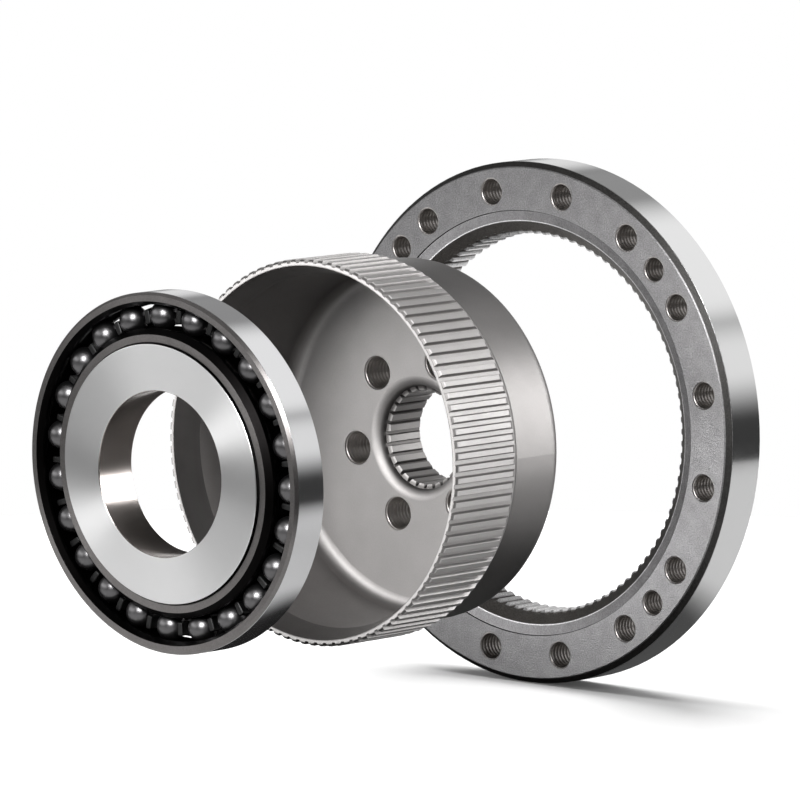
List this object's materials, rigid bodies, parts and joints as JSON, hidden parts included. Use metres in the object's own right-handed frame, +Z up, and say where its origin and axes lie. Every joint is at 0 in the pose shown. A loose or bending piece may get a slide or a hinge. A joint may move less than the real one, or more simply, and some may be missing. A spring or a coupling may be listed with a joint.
{
  "type": "strain wave gear",
  "caption": "Strain wave gear set drawn apart on its axis: toothed ring, thin toothed cup with a splined hub, and an oval ball-bearing wave generator.",
  "frame": {"origin": "centre of the circular spline's front face, on the gear axis", "axes": "+Y along the gear axis from the wave generator towards the circular spline's back, +Z up"},
  "size_m": [0.112, 0.1251, 0.112],
  "materials": {
    "ring_steel": "matte ground faces, polished rim",
    "cup_steel": "satin, hobbed teeth",
    "plug_steel": "bright fine-ground",
    "race_steel": "bright ground",
    "cage_black": "black, glossy",
    "ball_steel": "polished"
  },
  "bodies": {
    "circular_spline": {"circular_spline": "ring_steel"},
    "flexspline": {"flexspline": "cup_steel"},
    "outer_race": {"outer_race": "race_steel"},
    "plug": {"wave_generator_plug": "plug_steel", "inner_race": "race_steel"},
    "cage": {"ball_cage": "cage_black"},
    "ball_01": {"ball_01": "ball_steel"},
    "ball_02": {"ball_02": "ball_steel"},
    "ball_03": {"ball_03": "ball_steel"},
    "ball_04": {"ball_04": "ball_steel"},
    "ball_05": {"ball_05": "ball_steel"},
    "ball_06": {"ball_06": "ball_steel"},
    "ball_07": {"ball_07": "ball_steel"},
    "ball_08": {"ball_08": "ball_steel"},
    "ball_09": {"ball_09": "ball_steel"},
    "ball_10": {"ball_10": "ball_steel"},
    "ball_11": {"ball_11": "ball_steel"},
    "ball_12": {"ball_12": "ball_steel"},
    "ball_13": {"ball_13": "ball_steel"},
    "ball_14": {"ball_14": "ball_steel"},
    "ball_15": {"ball_15": "ball_steel"},
    "ball_16": {"ball_16": "ball_steel"},
    "ball_17": {"ball_17": "ball_steel"},
    "ball_18": {"ball_18": "ball_steel"},
    "ball_19": {"ball_19": "ball_steel"},
    "ball_20": {"ball_20": "ball_steel"},
    "ball_21": {"ball_21": "ball_steel"},
    "ball_22": {"ball_22": "ball_steel"},
    "ball_23": {"ball_23": "ball_steel"}
  },
  "joints": [
    {"name": "output_turn", "type": "hinge", "parent": "circular_spline", "child": "flexspline", "pos_m": [0, 0, 0], "axis": [0, 1, 0], "continuous": true},
    {"name": "generator_slide", "type": "slide", "parent": "flexspline", "child": "outer_race", "axis": [0, 1, 0], "range_m": [0, 0.051], "deforming": ["flexspline"]},
    {"name": "input_turn", "type": "hinge", "parent": "outer_race", "child": "plug", "pos_m": [0, -0.1092, 0], "axis": [0, 1, 0], "continuous": true, "deforming": ["outer_race"]},
    {"name": "cage_turn", "type": "hinge", "parent": "outer_race", "child": "cage", "pos_m": [0, -0.1092, 0], "axis": [0, 1, 0], "continuous": true},
    {"name": "ball_01_orbit", "type": "hinge", "parent": "cage", "child": "ball_01", "pos_m": [-0.00223, -0.1092, 0.03192], "axis": [0, 1, 0], "continuous": true},
    {"name": "ball_02_orbit", "type": "hinge", "parent": "cage", "child": "ball_02", "pos_m": [-0.01076, -0.1092, 0.03014], "axis": [0, 1, 0], "continuous": true},
    {"name": "ball_03_orbit", "type": "hinge", "parent": "cage", "child": "ball_03", "pos_m": [-0.01849, -0.1092, 0.02611], "axis": [0, 1, 0], "continuous": true},
    {"name": "ball_04_orbit", "type": "hinge", "parent": "cage", "child": "ball_04", "pos_m": [-0.02485, -0.1092, 0.02016], "axis": [0, 1, 0], "continuous": true},
    {"name": "ball_05_orbit", "type": "hinge", "parent": "cage", "child": "ball_05", "pos_m": [-0.02937, -0.1092, 0.0127], "axis": [0, 1, 0], "continuous": true},
    {"name": "ball_06_orbit", "type": "hinge", "parent": "cage", "child": "ball_06", "pos_m": [-0.03171, -0.1092, 0.00431], "axis": [0, 1, 0], "continuous": true},
    {"name": "ball_07_orbit", "type": "hinge", "parent": "cage", "child": "ball_07", "pos_m": [-0.0317, -0.1092, -0.00441], "axis": [0, 1, 0], "continuous": true},
    {"name": "ball_08_orbit", "type": "hinge", "parent": "cage", "child": "ball_08", "pos_m": [-0.02933, -0.1092, -0.01279], "axis": [0, 1, 0], "continuous": true},
    {"name": "ball_09_orbit", "type": "hinge", "parent": "cage", "child": "ball_09", "pos_m": [-0.02479, -0.1092, -0.02023], "axis": [0, 1, 0], "continuous": true},
    {"name": "ball_10_orbit", "type": "hinge", "parent": "cage", "child": "ball_10", "pos_m": [-0.01841, -0.1092, -0.02617], "axis": [0, 1, 0], "continuous": true},
    {"name": "ball_11_orbit", "type": "hinge", "parent": "cage", "child": "ball_11", "pos_m": [-0.01067, -0.1092, -0.03017], "axis": [0, 1, 0], "continuous": true},
    {"name": "ball_12_orbit", "type": "hinge", "parent": "cage", "child": "ball_12", "pos_m": [-0.00214, -0.1092, -0.03193], "axis": [0, 1, 0], "continuous": true},
    {"name": "ball_13_orbit", "type": "hinge", "parent": "cage", "child": "ball_13", "pos_m": [0.00656, -0.1092, -0.03132], "axis": [0, 1, 0], "continuous": true},
    {"name": "ball_14_orbit", "type": "hinge", "parent": "cage", "child": "ball_14", "pos_m": [0.01477, -0.1092, -0.02839], "axis": [0, 1, 0], "continuous": true},
    {"name": "ball_15_orbit", "type": "hinge", "parent": "cage", "child": "ball_15", "pos_m": [0.02188, -0.1092, -0.02335], "axis": [0, 1, 0], "continuous": true},
    {"name": "ball_16_orbit", "type": "hinge", "parent": "cage", "child": "ball_16", "pos_m": [0.02737, -0.1092, -0.01659], "axis": [0, 1, 0], "continuous": true},
    {"name": "ball_17_orbit", "type": "hinge", "parent": "cage", "child": "ball_17", "pos_m": [0.03083, -0.1092, -0.00859], "axis": [0, 1, 0], "continuous": true},
    {"name": "ball_18_orbit", "type": "hinge", "parent": "cage", "child": "ball_18", "pos_m": [0.032, -0.1092, 0.00005], "axis": [0, 1, 0], "continuous": true},
    {"name": "ball_19_orbit", "type": "hinge", "parent": "cage", "child": "ball_19", "pos_m": [0.0308, -0.1092, 0.00868], "axis": [0, 1, 0], "continuous": true},
    {"name": "ball_20_orbit", "type": "hinge", "parent": "cage", "child": "ball_20", "pos_m": [0.02732, -0.1092, 0.01667], "axis": [0, 1, 0], "continuous": true},
    {"name": "ball_21_orbit", "type": "hinge", "parent": "cage", "child": "ball_21", "pos_m": [0.02181, -0.1092, 0.02342], "axis": [0, 1, 0], "continuous": true},
    {"name": "ball_22_orbit", "type": "hinge", "parent": "cage", "child": "ball_22", "pos_m": [0.01468, -0.1092, 0.02843], "axis": [0, 1, 0], "continuous": true},
    {"name": "ball_23_orbit", "type": "hinge", "parent": "cage", "child": "ball_23", "pos_m": [0.00646, -0.1092, 0.03134], "axis": [0, 1, 0], "continuous": true}
  ],
  "couplings": [
    {"joint": "output_turn", "follows": "input_turn", "ratio": -0.019608},
    {"joint": "cage_turn", "follows": "input_turn", "ratio": 0.45312},
    {"joint": "ball_01_orbit", "follows": "input_turn", "ratio": 1.0938},
    {"joint": "ball_02_orbit", "follows": "input_turn", "ratio": 1.0938},
    {"joint": "ball_03_orbit", "follows": "input_turn", "ratio": 1.0938},
    {"joint": "ball_04_orbit", "follows": "input_turn", "ratio": 1.0938},
    {"joint": "ball_05_orbit", "follows": "input_turn", "ratio": 1.0938},
    {"joint": "ball_06_orbit", "follows": "input_turn", "ratio": 1.0938},
    {"joint": "ball_07_orbit", "follows": "input_turn", "ratio": 1.0938},
    {"joint": "ball_08_orbit", "follows": "input_turn", "ratio": 1.0938},
    {"joint": "ball_09_orbit", "follows": "input_turn", "ratio": 1.0938},
    {"joint": "ball_10_orbit", "follows": "input_turn", "ratio": 1.0938},
    {"joint": "ball_11_orbit", "follows": "input_turn", "ratio": 1.0938},
    {"joint": "ball_12_orbit", "follows": "input_turn", "ratio": 1.0938},
    {"joint": "ball_13_orbit", "follows": "input_turn", "ratio": 1.0938},
    {"joint": "ball_14_orbit", "follows": "input_turn", "ratio": 1.0938},
    {"joint": "ball_15_orbit", "follows": "input_turn", "ratio": 1.0938},
    {"joint": "ball_16_orbit", "follows": "input_turn", "ratio": 1.0938},
    {"joint": "ball_17_orbit", "follows": "input_turn", "ratio": 1.0938},
    {"joint": "ball_18_orbit", "follows": "input_turn", "ratio": 1.0938},
    {"joint": "ball_19_orbit", "follows": "input_turn", "ratio": 1.0938},
    {"joint": "ball_20_orbit", "follows": "input_turn", "ratio": 1.0938},
    {"joint": "ball_21_orbit", "follows": "input_turn", "ratio": 1.0938},
    {"joint": "ball_22_orbit", "follows": "input_turn", "ratio": 1.0938},
    {"joint": "ball_23_orbit", "follows": "input_turn", "ratio": 1.0938}
  ]
}
